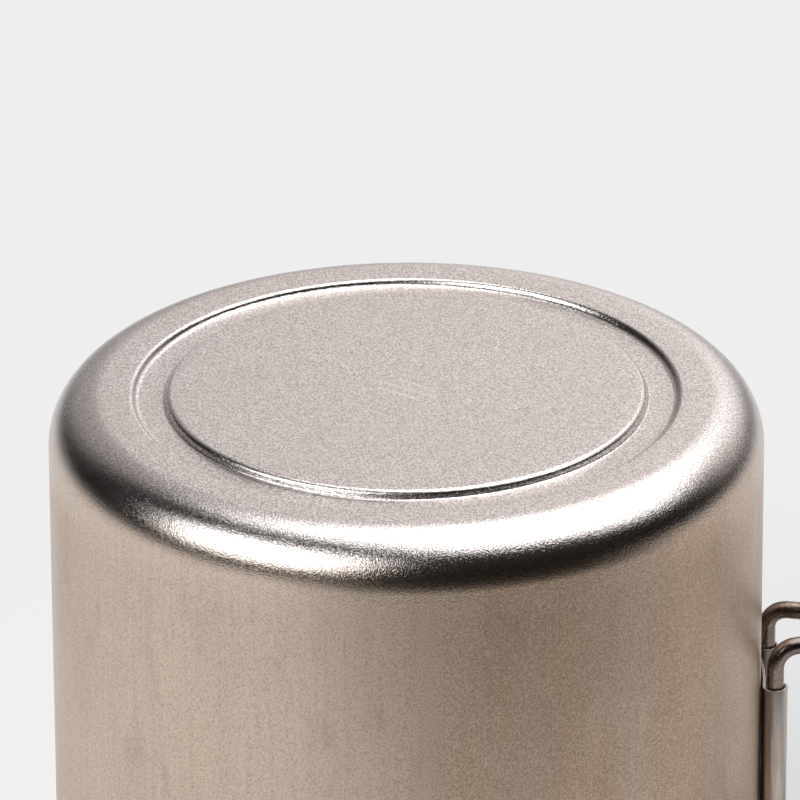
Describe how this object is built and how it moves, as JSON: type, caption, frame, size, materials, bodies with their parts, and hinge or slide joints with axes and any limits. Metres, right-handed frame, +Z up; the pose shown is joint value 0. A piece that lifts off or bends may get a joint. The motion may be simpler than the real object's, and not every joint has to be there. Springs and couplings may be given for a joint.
{
  "type": "camping cook pot set",
  "caption": "Titanium camping pot stored upside down in its frying-pan lid, each with a welded bracket and folding wire handles.",
  "frame": {"origin": "middle of the pan's underside, on the surface that the set stands on", "axes": "+Z up from the pan to the upturned pot's base, +X towards the opened handles"},
  "size_m": [0.1827, 0.1312, 0.1295],
  "materials": {
    "blasted_titanium": "fine sand-blasted",
    "formed_titanium": "satin, as rolled",
    "drawn_wire": "bare drawn wire"
  },
  "bodies": {
    "pan": {"pan_body": "blasted_titanium", "pan_handle_bracket": "formed_titanium"},
    "pan_rear_handle": {"pan_handle_rear": "drawn_wire"},
    "pan_front_handle": {"pan_handle_front": "drawn_wire"},
    "pot": {"pot_body": "blasted_titanium", "pot_handle_bracket": "formed_titanium"},
    "pot_rear_handle": {"pot_handle_rear": "drawn_wire"},
    "pot_front_handle": {"pot_handle_front": "drawn_wire"}
  },
  "joints": [
    {"name": "pot_lift", "type": "slide", "parent": "pan", "child": "pot", "axis": [0, 0, 1], "range_m": [0, 0.05]},
    {"name": "pot_rear_fold", "type": "hinge", "parent": "pot", "child": "pot_rear_handle", "pos_m": [0.06194, 0.00795, 0.061], "axis": [0, 0, 1], "range_deg": [0, 115]},
    {"name": "pot_front_fold", "type": "hinge", "parent": "pot", "child": "pot_front_handle", "pos_m": [0.06194, -0.00795, 0.061], "axis": [0, 0, -1], "range_deg": [0, 115]},
    {"name": "pan_rear_fold", "type": "hinge", "parent": "pan", "child": "pan_rear_handle", "pos_m": [0.05967, 0.00795, 0.0125], "axis": [0, 0, 1], "range_deg": [0, 115]},
    {"name": "pan_front_fold", "type": "hinge", "parent": "pan", "child": "pan_front_handle", "pos_m": [0.05967, -0.00795, 0.0125], "axis": [0, 0, -1], "range_deg": [0, 115]}
  ]
}
